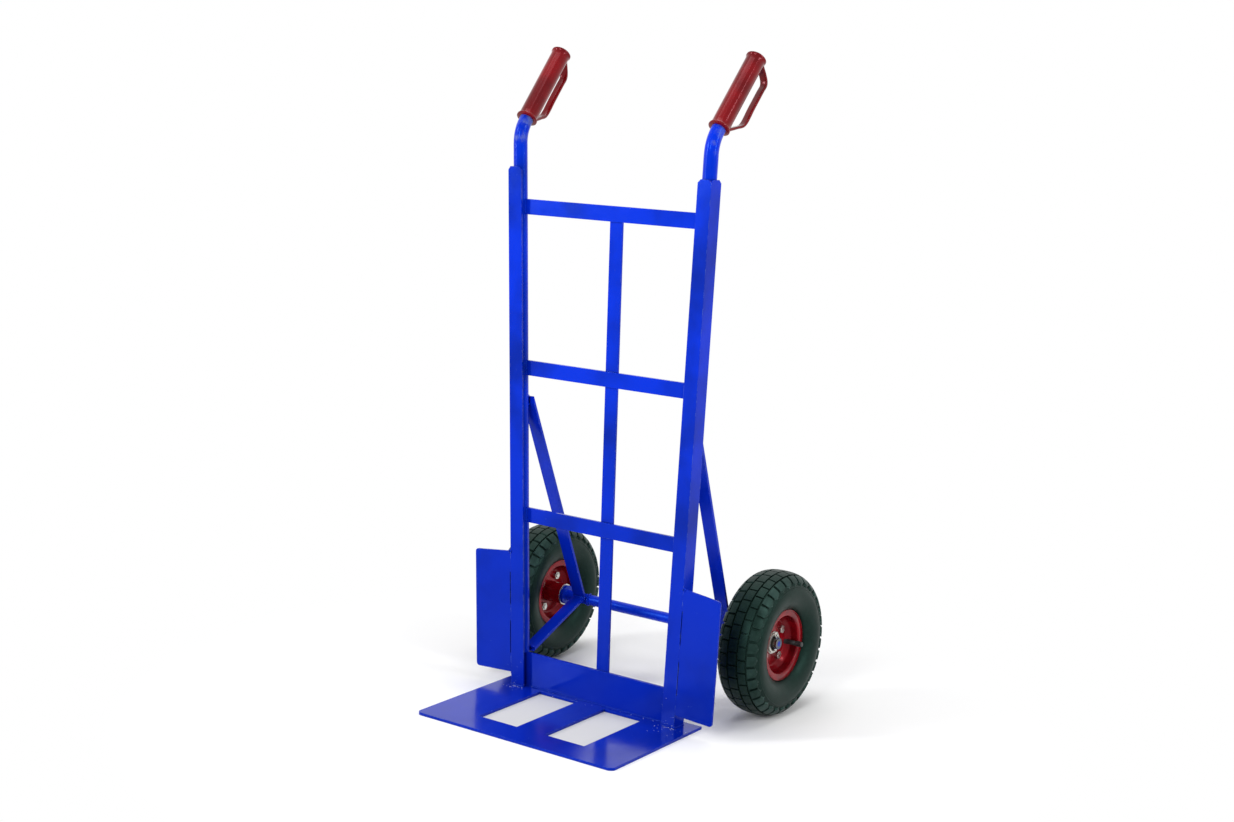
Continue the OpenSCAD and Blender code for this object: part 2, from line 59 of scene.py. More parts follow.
class Paint:
    """A material being put together: nodes by short calls, values set on their sockets."""

    def __init__(self, name):
        self.material = bpy.data.materials.new(name)
        self.material.use_nodes = True
        self.tree = self.material.node_tree
        self.shader = self.tree.nodes["Principled BSDF"]

    def node(self, kind, **settings):
        made = self.tree.nodes.new("ShaderNode" + kind)
        for key, value in settings.items():
            setattr(made, key, value)
        return made

    def join(self, out, into):
        self.tree.links.new(out, into)

    def place(self):
        return self.node("TexCoord").outputs["Object"]

    def xyz(self):
        """The object's own coordinates, one by one."""
        made = self.node("SeparateXYZ")
        self.join(self.place(), made.inputs["Vector"])
        return made.outputs["X"], made.outputs["Y"], made.outputs["Z"]

    def height(self):
        return self.xyz()[2]

    def noise(self, scale, detail=3.0, roughness=0.5, at=None):
        made = self.node("TexNoise")
        made.inputs["Scale"].default_value = scale
        made.inputs["Detail"].default_value = detail
        made.inputs["Roughness"].default_value = roughness
        self.join(at or self.place(), made.inputs["Vector"])
        return made.outputs["Fac"]

    def grains(self, scale):
        """Distance to the nearest grain of a random scatter."""
        made = self.node("TexVoronoi")
        made.inputs["Scale"].default_value = scale
        self.join(self.place(), made.inputs["Vector"])
        return made.outputs["Distance"]

    def step(self, fac, low, high):
        """0 below low, 1 above high, and smooth between."""
        made = self.node("MapRange", interpolation_type="SMOOTHSTEP")
        made.inputs["From Min"].default_value = low
        made.inputs["From Max"].default_value = high
        self.join(fac, made.inputs["Value"])
        return made.outputs["Result"]

    def math(self, operation, a, b=None):
        made = self.node("Math", operation=operation)
        for value, into in ((a, made.inputs[0]), (b, made.inputs[1])):
            if isinstance(value, (int, float)):
                into.default_value = value
            elif value is not None:
                self.join(value, into)
        return made.outputs["Value"]

    def times(self, a, b):
        return self.math("MULTIPLY", a, b)

    def mix(self, fac, a, b):
        made = self.node("Mix", data_type="RGBA")
        self.join(fac, made.inputs["Factor"])
        for value, into in ((a, made.inputs["A"]), (b, made.inputs["B"])):
            if isinstance(value, tuple):
                into.default_value = (*value, 1)
            else:
                self.join(value, into)
        return made.outputs["Result"]

    def round_edges(self, radius):
        made = self.node("Bevel", samples=4)
        made.inputs["Radius"].default_value = radius
        return made.outputs["Normal"]

    def edges(self, reach):
        """About 1 on a sharp edge, within reach metres of it, and 0 on a flat."""
        dot = self.node("VectorMath", operation="DOT_PRODUCT")
        self.join(self.round_edges(reach), dot.inputs[0])
        self.join(self.node("NewGeometry").outputs["Normal"], dot.inputs[1])
        return self.step(self.math("SUBTRACT", 1.0, dot.outputs["Value"]), 0.02, 0.22)

    def crevice(self, reach):
        """1 deep in a slot or an inner corner, 0 in the open."""
        made = self.node("AmbientOcclusion", samples=4)
        made.inputs["Distance"].default_value = reach
        return self.step(made.outputs["AO"], 0.62, 0.25)

    def relief(self, height, strength, distance, over=None):
        made = self.node("Bump")
        made.inputs["Strength"].default_value = strength
        made.inputs["Distance"].default_value = distance
        self.join(height, made.inputs["Height"])
        if over is not None:
            self.join(over, made.inputs["Normal"])
        return made.outputs["Normal"]

    def set(self, **values):
        for key, value in values.items():
            into = self.shader.inputs[key.replace("_", " ")]
            if isinstance(value, bpy.types.NodeSocket):
                self.join(value, into)
            elif isinstance(value, tuple):
                into.default_value = (*value, 1)
            else:
                into.default_value = value


BLUE = (0.0012, 0.027, 0.64)
# Deep blue for the random tone, and for the painted shade low down
BLUE_DEEP_TONE_AND_SHADE = (0.0008, 0.013, 0.30)
# Near-black blue for the painted shade in slots and inner corners
BLUE_CREVICE_SHADE = (0.0004, 0.0022, 0.045)
BLUE_SHEEN = (0.02, 0.24, 1.0)
PRIMER = (0.16, 0.24, 0.42)
DUST = (0.20, 0.25, 0.33)


def blue_enamel(name, wear, dust_from=None):
    """wear is how much of the edges is rubbed through, 0 to 1; dust settles above a height."""
    p = Paint(name)
    body = p.mix(p.step(p.noise(7.0, 4.0), 0.38, 0.72), BLUE, BLUE_DEEP_TONE_AND_SHADE)
    # Painted shade: darker towards the floor, where less light reaches
    body = p.mix(p.times(p.step(p.height(), 0.70, 0.02), 0.7), body, BLUE_DEEP_TONE_AND_SHADE)
    # Painted shade in the slots and inner corners
    body = p.mix(p.crevice(0.0045), body, BLUE_CREVICE_SHADE)
    chipped = p.step(p.noise(62.0, 6.0, 0.7), 0.62 - 0.16 * wear, 0.67 - 0.12 * wear)
    worn = p.times(p.edges(0.0010), chipped)
    speck = p.times(p.step(p.grains(95.0), 0.055, 0.03), p.step(p.noise(11.0, 2.0), 0.52, 0.60))
    rubbed = p.math("MINIMUM", p.math("ADD", worn, p.times(speck, 0.7)), 1.0)
    colour = p.mix(rubbed, body, PRIMER)
    rough = p.math("ADD", p.times(rubbed, 0.3), p.times(p.noise(30.0, 5.0, 0.6), 0.20))
    if dust_from is not None:
        settled = p.step(p.height(), dust_from, dust_from + 0.02)
        dusty = p.times(p.times(settled, p.step(p.noise(38.0, 5.0, 0.65), 0.42, 0.66)), 0.5)
        colour = p.mix(dusty, colour, DUST)
        rough = p.math("ADD", rough, p.times(dusty, 0.4))
    p.set(Base_Color=colour, Roughness=p.math("ADD", rough, 0.06))
    p.set(Specular_IOR_Level=0.34, Specular_Tint=BLUE_SHEEN)
    p.set(Coat_Weight=0.04, Coat_Roughness=0.04)
    waves = p.relief(p.noise(17.0, 2.0), 0.35, 0.0010, p.round_edges(0.0009))
    peel = p.relief(p.noise(260.0, 2.0), 0.10, 0.0004, waves)
    p.set(Normal=p.relief(rubbed, -0.25, 0.0003, peel))
    p.join(peel, p.shader.inputs["Coat Normal"])
    return p.material


frame_paint = blue_enamel("blue_enamel", 0.35)
rail_paint = blue_enamel("blue_enamel_rubbed", 0.9)
tube_paint = blue_enamel("blue_enamel_dusty", 0.3, dust_from=0.985)


def coat(material, *names):
    """Gives CAD parts, which are already the right shape, their finish."""
    for name in names:
        slots = nodes[name].data.materials
        slots.clear()
        slots.append(material)


# ------------------------------------------------------- rails, tubes and bars
# Two lengths of steel angle with a round tube nested in each, three flat bars between the
# tubes and one flat bar behind them, sawn to length. The rails' edges are the most rubbed.

coat(rail_paint, "rail_left", "rail_right")
coat(tube_paint, "handle_tube_left", "handle_tube_right")
coat(frame_paint, "crossbar_top", "crossbar_middle", "crossbar_lower", "centre_bar")


# ------------------------------------------------- toe plate, wings and struts
# The load stands on a 5 mm plate with two lightening cut-outs, closed behind by an upright
# strip. Thin wing plates keep sacks off the wheels, and flat-bar struts carry the axle.

plate_paint = blue_enamel("blue_enamel_plate", 0.55)
coat(plate_paint, "toe_plate", "back_plate", "wing_plate_left", "wing_plate_right")
coat(frame_paint, "upper_strut_left", "upper_strut_right", "lower_strut_left",
     "lower_strut_right", "axle_collars")


# ------------------------------------------------------------------- weld runs
# The frame is arc welded by hand: a rope of overlapping puddles along each joint, thicker
# where the run stops, and painted over with the rest. The steel either side holds them.

axle_y, axle_z = next(j["pos_m"][1:] for j in frame["joints"] if j["name"] == "wheel_spin_left")
axle_r = 0.010
tube_r = 0.0125
rail_turn = math.radians(3)


def rail_corner(name, side):
    """Foot on the floor, and direction, of a rail's sharp outer corner."""
    points = [v.co for v in nodes[name].data.vertices]
    ends = []
    for level in (min(p.z for p in points), max(p.z for p in points)):
        near = [p for p in points if abs(p.z - level) < 0.007]
        ends.append(max(near, key=lambda p: side * p.x - p.y))
    up = (ends[1] - ends[0]).normalized()
    return ends[0] - up * (ends[0].z / up.z), up


class Side:
    """One side of the frame: x outward from the rail's corner, y to the rear, height z."""

    def __init__(self, name, side):
        self.name = name
        self.side = side
        self.foot, self.up = rail_corner("rail_" + name, side)
        self.out = Vector((side * self.up.z, 0, -abs(self.up.x)))
        low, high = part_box("crossbar_lower")
        self.tube_y = (low.y + high.y) / 2
        tube = [v.co for v in nodes["handle_tube_" + name].data.vertices]
        level = min(p.z for p in tube)
        xs = [p.x for p in tube if p.z < level + 0.0005]
        middle = Vector(((min(xs) + max(xs)) / 2, 0, level))
        self.tube_x = (middle - self.foot).dot(self.out)

    def at(self, x, y, z):
        """A point x out and y back from the corner, at height z above the floor."""
        start = self.foot + self.out * x
        return start + self.up * ((z - start.z) / self.up.z) + Vector((0, y, 0))

    def on_rail(self, x, y, z):
        """The same, in the rail's own turned faces."""
        return self.at(x * math.cos(rail_turn) + y * math.sin(rail_turn),
                       y * math.cos(rail_turn) - x * math.sin(rail_turn), z)


left_side, right_side = (Side(name, side) for name, side in sides)


def spaced(path, gap, closed=False):
    """Points along a path, a fixed gap apart."""
    points = [Vector(p) for p in path] + ([Vector(path[0])] if closed else [])
    made = []
    for a, b in zip(points, points[1:]):
        count = max(1, round((b - a).length / gap))
        made += [a.lerp(b, i / count) for i in range(count)]
    return made if closed else made + [points[-1]]


def bead(mesh, path, size, closed=False):
    """Adds one weld run: a round rope whose size swells with each puddle of the torch."""
    gap, puddle, around = 0.0007, 0.0023, 10
    path = spaced(path, gap, closed)
    count = len(path)
    rings = []
    across = None
    for i, point in enumerate(path):
        ahead = path[(i + 1) % count] if closed else path[min(i + 1, count - 1)]
        behind = path[i - 1] if closed else path[max(i - 1, 0)]
        along = (ahead - behind).normalized()
        if across is None:
            across = along.orthogonal().normalized()
        across = (across - along * across.dot(along)).normalized()
        other = along.cross(across)
        lump = noise.noise(point * 260) * 0.22
        swell = 0.10 * math.sin(2 * math.pi * i * gap / puddle)
        end = 1.0 if closed else min(1.0, 0.35 + 0.33 * min(i, count - 1 - i))
        radius = size * (1 + swell + lump) * end
        rings.append([mesh.verts.new(point + radius * (
            math.cos(2 * math.pi * k / around) * across + math.sin(2 * math.pi * k / around) * other))
            for k in range(around)])
    pairs = zip(rings, rings[1:] + rings[:1]) if closed else zip(rings, rings[1:])
    for a, b in pairs:
        for k in range(around):
            mesh.faces.new((a[k], a[(k + 1) % around], b[(k + 1) % around], b[k]))
    if not closed:
        mesh.faces.new(rings[0][::-1])
        mesh.faces.new(rings[-1])


def hoop(middle, radius, a, b, start=0, turn=360):
    """Points round a circle, or part of one, in the plane of two directions."""
    steps = 48
    count = steps if turn == 360 else steps + 1
    return [middle + radius * (a * math.cos(math.radians(start + turn * i / steps))
                               + b * math.sin(math.radians(start + turn * i / steps)))
            for i in range(count)]


def piece(name, mesh, material, body, smooth=True):
    """Turns a finished bmesh into a piece that rides on a body."""
    bmesh.ops.recalc_face_normals(mesh, faces=mesh.faces)
    data = bpy.data.meshes.new(name)
    mesh.to_mesh(data)
    mesh.free()
    if smooth:
        data.shade_smooth()
    made = bpy.data.objects.new(name, data)
    bpy.context.scene.collection.objects.link(made)
    data.materials.append(material)
    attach(made, body)
    return made


def crossbar_welds(mesh, s):
    """Up both faces of each crossbar's end, where it meets the tube."""
    inset = tube_r - 0.0002
    for name in ("crossbar_top", "crossbar_middle", "crossbar_lower"):
        low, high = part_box(name)
        for y in (low.y - 0.0002, high.y + 0.0002):
            bead(mesh, [s.at(s.tube_x - inset, y, low.z + 0.001),
                        s.at(s.tube_x - inset, y, high.z - 0.001)], 0.0020)


def rail_stitches(mesh, s):
    """Short runs in the two grooves between the tube and the rail's flanges."""
    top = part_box("rail_" + s.name)[1].z
    grooves = ((-0.0225, 0.0052), (-0.0052, 0.0236))
    stitch = 0.026
    for z in (0.115, 0.470, 0.700, top - 0.030):
        for x, y in grooves:
            bead(mesh, [s.at(x, y, z), s.at(x, y, z + stitch)], 0.0021)


def foot_welds(mesh, s):
    """Round the rail's foot, and where the tube stands on the back plate."""
    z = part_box("toe_plate")[1].z + 0.0004
    flange = 0.028
    bead(mesh, [s.on_rail(-flange, -0.0003, z), s.on_rail(0.0003, -0.0003, z),
                s.on_rail(0.0003, flange, z)], 0.0022)
    bead(mesh, [s.on_rail(-0.0034, flange + 0.0004, z), s.on_rail(-0.0034, 0.0034, z),
                s.on_rail(-flange, 0.0034, z)], 0.0018)
    low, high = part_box("back_plate")
    for y in (low.y - 0.0003, high.y + 0.0003):
        bead(mesh, [s.at(s.tube_x - 0.010, y, high.z + 0.0002),
                    s.at(s.tube_x + 0.008, y, high.z + 0.0002)], 0.0020)
        bead(mesh, [s.at(-0.0042, y, low.z + 0.001), s.at(-0.0042, y, high.z - 0.002)], 0.0017)


def wing_welds(mesh, s):
    """Stitches behind the wing plate, and the open puddle at its upper inner corner."""
    low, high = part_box("wing_plate_" + s.name)
    stitch = 0.034
    for share in (0.02, 0.28, 0.54, 0.82):
        z = low.z + share * (high.z - low.z)
        bead(mesh, [s.on_rail(0.0006, 0.0036, z), s.on_rail(0.0006, 0.0036, z + stitch)], 0.0019)
    corner = s.on_rail(0.0012, -0.0002, high.z - 0.0015)
    bead(mesh, hoop(corner, 0.0026, s.out, s.up), 0.0013, closed=True)
    bead(mesh, [s.on_rail(0.0004, 0.0002, low.z - 0.0003),
                s.on_rail(0.0004, 0.0030, low.z - 0.0003)], 0.0018)


def strut_welds(mesh, s):
    """The struts' two ends, their meeting at the axle, and the axle's own tacks."""
    upper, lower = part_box("upper_strut_" + s.name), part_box("lower_strut_" + s.name)
    middle = (lower[0].x + lower[1].x) / 2
    half = (lower[1].x - lower[0].x) / 2
    back = lower[0].y
    for z in (upper[1].z + 0.0002, upper[1].z - 0.0150):
        bead(mesh, [s.at(s.tube_x + x, s.tube_y + math.sqrt(tube_r ** 2 - x ** 2) + 0.0004, z)
                    for x in (-0.009, -0.006, -0.003, 0, 0.003, 0.006)], 0.0022)
    for z in (lower[0].z + 0.0003, lower[0].z + 0.0075):
        bead(mesh, [(middle - half * 0.9, back + 0.0002, z), (middle + half * 0.9, back + 0.0002, z)],
             0.0021)
    # The corner of the V, closed with one thick run, and the axle tacked in behind it
    tip = Vector((0, -0.93, 0.37))
    corner = Vector((middle, axle_y, axle_z)) + tip * (axle_r + 0.0070)
    bead(mesh, [corner - Vector((half, 0, 0)), corner + Vector((half, 0, 0))], 0.0030)
    for x in (middle - half - 0.0008, middle + half + 0.0008):
        bead(mesh, hoop(Vector((x, axle_y, axle_z)), axle_r + 0.0004, tip,
                        Vector((0, 0.37, 0.93)), -85, 170), 0.0024)


def axle_welds(mesh, s):
    """A run round the axle on the inboard face of the collar."""
    past_collar = 0.0064
    hub_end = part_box("hub_" + s.name)[0 if s.side > 0 else 1].x
    x = s.side * (hub_end * s.side - past_collar)
    bead(mesh, hoop(Vector((x, axle_y, axle_z)), axle_r + 0.0003,
                    Vector((0, 1, 0)), Vector((0, 0, 1))), 0.0018, closed=True)


def plate_welds(mesh):
    """The long run at the foot of the back plate, and the centre bar's laps."""
    low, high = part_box("back_plate")
    bead(mesh, [(low.x + 0.010, low.y - 0.0003, low.z + 0.0004),
                (high.x - 0.010, low.y - 0.0003, low.z + 0.0004)], 0.0017)
    bar_low, bar_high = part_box("centre_bar")
    for name in ("back_plate", "crossbar_lower", "crossbar_middle", "crossbar_top"):
        low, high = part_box(name)
        top, foot = min(high.z, bar_high.z), max(low.z, bar_low.z)
        for x in (bar_low.x - 0.0004, bar_high.x + 0.0004):
            bead(mesh, [(x, bar_low.y + 0.0004, foot + 0.001),
                        (x, bar_low.y + 0.0004, top - 0.001)], 0.0018)
    for z in (bar_low.z - 0.0002, bar_high.z + 0.0002):
        bead(mesh, [(bar_low.x + 0.001, bar_low.y + 0.0006, z),
                    (bar_high.x - 0.001, bar_low.y + 0.0006, z)], 0.0018)


weld_paint = blue_enamel("blue_enamel_weld", 0.5)
for s in (left_side, right_side):
    run = bmesh.new()
    for weld in (crossbar_welds, rail_stitches, foot_welds, wing_welds, strut_welds, axle_welds):
        weld(run, s)
    piece("welds_" + s.name, run, weld_paint, "chassis")
run = bmesh.new()
plate_welds(run)
piece("welds_middle", run, weld_paint, "chassis")


# --------------------------------------------------------------------- spatter
# Drops thrown off by the torch, which froze on the plates round the rails' feet and along
# the back plate. Some of them are pale, at random.

spatter_paint = Paint("pale_flecked_spatter")
pale_fleck = spatter_paint.step(spatter_paint.noise(420.0, 1.0), 0.45, 0.55)
spatter_paint.set(Base_Color=spatter_paint.mix(pale_fleck, BLUE, (0.55, 0.60, 0.70)), Roughness=0.28)

thrown = random.Random(7)
drops = bmesh.new()
on_plate, on_rail_face, along_back = 46, 16, 40
least_r = 0.0003


def drop(at, radius):
    bmesh.ops.create_icosphere(drops, subdivisions=1, radius=radius, matrix=Matrix.Translation(at))


plate_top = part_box("toe_plate")[1].z
for s in (left_side, right_side):
    foot = s.on_rail(-0.012, -0.003, plate_top)
    for _ in range(on_plate):
        away = thrown.expovariate(1 / 0.011)
        way = thrown.uniform(math.pi, 2 * math.pi)
        at = foot + Vector((math.cos(way) * away * 1.3, math.sin(way) * away, 0))
        drop(Vector((at.x, min(at.y, -0.001), plate_top)), thrown.uniform(least_r, 0.0009))
    for _ in range(on_rail_face):
        z = plate_top + thrown.expovariate(1 / 0.012)
        drop(s.on_rail(-thrown.uniform(0.001, 0.026), 0, z), thrown.uniform(least_r, 0.0006))
back_low, back_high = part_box("back_plate")
for _ in range(along_back):
    x = thrown.uniform(back_low.x + 0.012, back_high.x - 0.012)
    drop(Vector((x, back_low.y - thrown.expovariate(1 / 0.006), plate_top)),
         thrown.uniform(least_r, 0.0007))
piece("weld_spatter", drops, spatter_paint.material, "chassis")


# ----------------------------------------------------------------------- tyres
# A pneumatic block tyre, moulded in one piece of dark green-black rubber. Five staggered
# rows of square blocks go over the crown, the shoulder blocks have rounded ends, and two
# raised rings run round each side wall. The bead sits inside the rim's edge.

RUBBER = (0.0030, 0.0080, 0.0062)
RUBBER_PALE = (0.0070, 0.0165, 0.0130)
# Pale green for dust and a painted highlight on the blocks' edges and the shoulder tops
RUBBER_DUST_AND_HIGHLIGHT = (0.060, 0.110, 0.098)
# Sizes in this section are in millimetres, as tyres are drawn
blocks_round = 34
groove = 3.4
tyre_r, tyre_half_w = 130.0, 43.0
waist_r, bead_edge_r, bead_r, bead_x = 96.0, 64.4, 54.4, 23.8
# Distance from the crown, along the outline, at which the shoulder blocks have ended
tread_end = 48.3


def crown_point(t):
    """Over the tread from the crown, t=0, to the widest place, t=1, as radius and width."""
    a = math.radians(90 * (1 - t))
    return (waist_r + (tyre_r - waist_r) * math.sin(a) ** 0.84,
            tyre_half_w * max(math.cos(a), 0) ** 0.72)


def wall_point(t):
    """Down the side wall from the widest place, t=0, to the rim's edge, t=1."""
    a = math.radians(90 * (1 - t))
    return (waist_r - (waist_r - bead_edge_r) * math.cos(a),
            bead_x + (tyre_half_w - bead_x) * math.sin(a))


def outline():
    """The tyre's outer outline, finely, from the crown to the rim: distance, radius, width."""
    crown_steps, wall_steps, closer_at_crown = 160, 80, 1.6
    points = [crown_point((i / crown_steps) ** closer_at_crown) for i in range(crown_steps + 1)]
    points += [wall_point(i / wall_steps) for i in range(1, wall_steps + 1)]
    far, made = 0.0, []
    for i, point in enumerate(points):
        if i:
            far += math.dist(point, points[i - 1])
        made.append((far, *point))
    return made


tyre_outline = outline()
outline_l = tyre_outline[-1][0]


def on_outline(far):
    """Radius, width and outward direction at a distance from the crown."""
    i = next((i for i, row in enumerate(tyre_outline) if row[0] >= far), len(tyre_outline) - 1)
    i = max(i, 1)
    a, b = tyre_outline[i - 1], tyre_outline[i]
    t = (far - a[0]) / (b[0] - a[0])
    along = (b[1] - a[1], b[2] - a[2])
    size = math.hypot(*along)
    return (a[1] + (b[1] - a[1]) * t, a[2] + (b[2] - a[2]) * t,
            along[1] / size, -along[0] / size)


def smooth(low, high, value):
    t = min(max((value - low) / (high - low), 0.0), 1.0)
    return t * t * (3 - 2 * t)


# Rows of blocks: where they start and end from the crown, the share of a block's pitch that
# the gap takes, and the stagger. The last row, the shoulder's, has rounded outer ends
tread_rows = [(-1, 8.5, 0.10, 0.0), (11.0, 25.5, 0.11, 0.5), (28.0, 48.0, 0.20, 0.0)]


def tread_height(far, phase, row_shift):
    """1 on top of a block, 0 in a groove; phase counts blocks round the tyre."""
    slope, side_slope, nose = 0.3, 0.012, 7
    for row in tread_rows:
        start, end, gap, shift = row
        if start - 2 * slope <= far <= end + 2 * slope:
            off = abs((phase + shift + row_shift * (shift == 0.5)) % 1 - 0.5)
            half = 0.5 - gap / 2
            across = smooth(half + side_slope, half - side_slope, off)
            inner = smooth(start - slope, start + slope, far)
            outer = smooth(end + slope, end - slope, far)
            if row is tread_rows[-1]:
                round_off = max(far - (end - nose), 0) / nose
                outer = smooth(1.08, 0.92, math.hypot(round_off, off / half * min(1, round_off * 2)))
            return across * inner * outer
    return 0.0


def tyre_section():
    """Distances from the crown at which the mesh has a line, one side of the crown."""
    slope = 0.3
    lines = [0.0, 4.2]
    for start, end, gap, shift in tread_rows:
        if start > 0:
            lines += [start - slope, start + slope]
        if (start, end, gap, shift) != tread_rows[-1]:
            lines += [start + (end - start) * 0.5 if start > 0 else 6.5, end - slope, end + slope]
    lines += [31.5 + 1.5 * i for i in range(12)]
    lines += [50.5, 52.4, 53.0, 54.4, 55.0]
    wall_from, steps = 57, 14
    return sorted(lines) + [wall_from + (outline_l - wall_from) * i / steps for i in range(steps + 1)]


def wall_relief(far):
    """How far the side wall lies under the outline: a step below the blocks, and two rings."""
    sunk = 2.6 - 2.0 * smooth(48, 64, far)
    ring = smooth(52.4, 53.0, far) * smooth(55.0, 54.4, far)
    to_rim = outline_l - far
    rim_ring = smooth(9, 7.5, to_rim) * smooth(3, 4.5, to_rim)
    return sunk - 0.7 * ring - 0.5 * rim_ring


def tyre_mesh(name, side):
    """The tyre as rings of points; wear marks the blocks' edges and the shoulder blocks' tops, for
    dust and a painted highlight.
    """
    # Where the mesh has lines within a block's pitch: at the foot and top of each gap's sides
    foot_to_top = 0.024
    lines = {0.0, 0.16, 0.25, 0.34, 0.5, 0.66, 0.75, 0.84}
    for start, end, gap, shift in tread_rows:
        for middle in (0.0, 0.5):
            for side_of_gap in (-gap / 2, gap / 2):
                for step in (foot_to_top / 2, -foot_to_top / 2):
                    lines.add(round((middle + side_of_gap + step) % 1, 4))
    lines = sorted(lines)
    half = tyre_section()
    fars = [-f for f in reversed(half[1:])] + half
    # The hollow inside, as radius and half width, from one bead over to the other
    inner = [(54.4, 17.0), (66.0, 19.5), (80.0, 33.0), (96.0, 37.5), (110.0, 33.0),
             (119.0, 20.0), (121.0, 0.0)]
    inner = inner + [(r, -w) for r, w in reversed(inner[:-1])]
    points, wear = [], []
    for block in range(blocks_round):
        for line in lines:
            phase = block + line
            a = 2 * math.pi * phase / blocks_round
            ring = [(bead_r, -bead_x, 0.0)]
            for far in fars:
                radius, width, out_r, out_w = on_outline(abs(far))
                top = tread_height(abs(far), phase, 0.25 if far < 0 else 0.0)
                sunk = min(groove, wall_relief(abs(far))) if abs(far) > tread_end else groove
                under = sunk * (1 - top)
                # The blocks' edges, and the shoulder blocks' tops, are marked for dust and a painted
                # highlight
                rubbed = smooth(0.02, 0.5, top) * smooth(1.0, 0.5, top)
                shoulder = 0.35 * top if abs(far) > tread_rows[-1][0] else 0.0
                ring.append((radius - out_r * under, math.copysign(1, far) * (width - out_w * under),
                             rubbed + shoulder))
            ring.append((bead_r, bead_x, 0.0))
            ring += [(r, w, 0.0) for r, w in inner]
            for radius, width, rubbed in ring:
                radius /= 1000
                points.append((width * side / 1000, axle_y - side * math.sin(a) * radius,
                               axle_z + math.cos(a) * radius))
                wear.append(rubbed)
    around, count = blocks_round * len(lines), len(ring)
    faces = [(i * count + k, i * count + (k + 1) % count,
              (i + 1) % around * count + (k + 1) % count, (i + 1) % around * count + k)
             for i in range(around) for k in range(count)]
    data = bpy.data.meshes.new(name)
    data.from_pydata(points, [], faces)
    marks = data.attributes.new("wear", "FLOAT", "POINT")
    marks.data.foreach_set("value", wear)
    return data


rubber = Paint("tyre_rubber")
rubbed = rubber.node("Attribute", attribute_name="wear").outputs["Fac"]
# Dust and a painted highlight, pale green, on the marked edges and shoulder tops
dust_and_highlight = rubber.times(rubbed, rubber.step(rubber.noise(26.0, 4.0, 0.6), 0.30, 0.75))
mottle = rubber.mix(rubber.step(rubber.noise(120.0, 5.0, 0.7), 0.35, 0.8), RUBBER, RUBBER_PALE)
rubber.set(Base_Color=rubber.mix(dust_and_highlight, mottle, RUBBER_DUST_AND_HIGHLIGHT))
rubber.set(Roughness=rubber.math("ADD", rubber.times(rubber.noise(60.0, 4.0), 0.25), 0.30))
rubber.set(Specular_IOR_Level=0.20, Specular_Tint=(0.45, 1.0, 0.85))
rubber.set(Normal=rubber.relief(rubber.noise(900.0, 3.0, 0.6), 0.25, 0.0003))

for name, side in sides:
    data = tyre_mesh("tyre_mesh_" + name, side)
    shell = bmesh.new()
    shell.from_mesh(data)
    bpy.data.meshes.remove(data)
    wheel_x = (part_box("tyre_" + name)[0].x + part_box("tyre_" + name)[1].x) / 2
    bmesh.ops.translate(shell, verts=shell.verts, vec=(wheel_x, 0, 0))
    made = piece("tyre_moulded_" + name, shell, rubber.material, "wheel_" + name,
                 smooth=False)
    made.data.set_sharp_from_angle(angle=math.radians(35))
    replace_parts(made, "tyre_" + name)


# ------------------------------------------------------------ rims and hubs
# Each wheel is two rim halves pressed from sheet, bolted together round a welded hub tube,
# all in a deep red gloss enamel.

RED = (0.260, 0.0035, 0.0085)
RED_DEEP = (0.095, 0.0014, 0.0040)

enamel = Paint("red_enamel")
enamel.set(Base_Color=enamel.mix(enamel.step(enamel.noise(24.0, 4.0), 0.35, 0.75), RED, RED_DEEP))
enamel.set(Roughness=enamel.math("ADD", enamel.times(enamel.noise(70.0, 4.0), 0.16), 0.12))
enamel.set(Specular_IOR_Level=0.5, Specular_Tint=(1.0, 0.10, 0.14), Coat_Weight=0.08,
           Coat_Roughness=0.05)
enamel.set(Normal=enamel.relief(enamel.noise(55.0, 3.0), 0.25, 0.0008, enamel.round_edges(0.0010)))
coat(enamel.material, *["%s_%s" % (part, name) for part in ("rim_outer", "rim_inner", "hub")
                        for name, side in sides])


# ------------------------------------------- bolts, nuts, caps, washers and pins
# Bright zinc-plated hardware: four hex bolts and nuts through each rim, the hub's end caps,
# a washer and a split pin. The plating has a faint milky bloom and scuffs.

zinc = Paint("zinc_plate")
bloom = zinc.step(zinc.noise(150.0, 5.0, 0.65), 0.35, 0.75)
zinc.set(Base_Color=zinc.mix(bloom, (0.66, 0.66, 0.62), (0.40, 0.41, 0.38)), Metallic=1.0)
zinc.set(Roughness=zinc.math("ADD", zinc.times(bloom, 0.22), 0.20))
zinc.set(Normal=zinc.relief(zinc.noise(700.0, 2.0), 0.12, 0.0002, zinc.round_edges(0.0006)))
coat(zinc.material, "split_pins", *["%s_%s" % (part, name) for name, side in sides
                                    for part in ("hub_caps", "rim_bolts", "rim_nuts")])



def from_axle(p):
    """Distance from the axle's centre line, as a material sees it."""
    y, z = p.xyz()[1:]
    off_y, off_z = p.math("SUBTRACT", y, axle_y), p.math("SUBTRACT", z, axle_z)
    return p.math("SQRT", p.math("ADD", p.times(off_y, off_y), p.times(off_z, off_z)))


# The washer is painted dark round the axle, a painted shade for the dark hollow there
shaded_washer = Paint("zinc_washer_painted_shade")
shade_r = 0.0156
ragged = shaded_washer.math("ADD", from_axle(shaded_washer), shaded_washer.times(shaded_washer.noise(330.0, 3.0), 0.003))
painted_shade = shaded_washer.step(ragged, shade_r + 0.001, shade_r)
shaded_washer.set(Base_Color=shaded_washer.mix(painted_shade, (0.60, 0.60, 0.55), (0.020, 0.013, 0.008)))
shaded_washer.set(Metallic=shaded_washer.math("SUBTRACT", 1.0, painted_shade), Roughness=0.3)
shaded_washer.set(Normal=shaded_washer.relief(shaded_washer.noise(500.0, 3.0), 0.3, 0.0004, shaded_washer.round_edges(0.0006)))
coat(shaded_washer.material, "axle_washers")

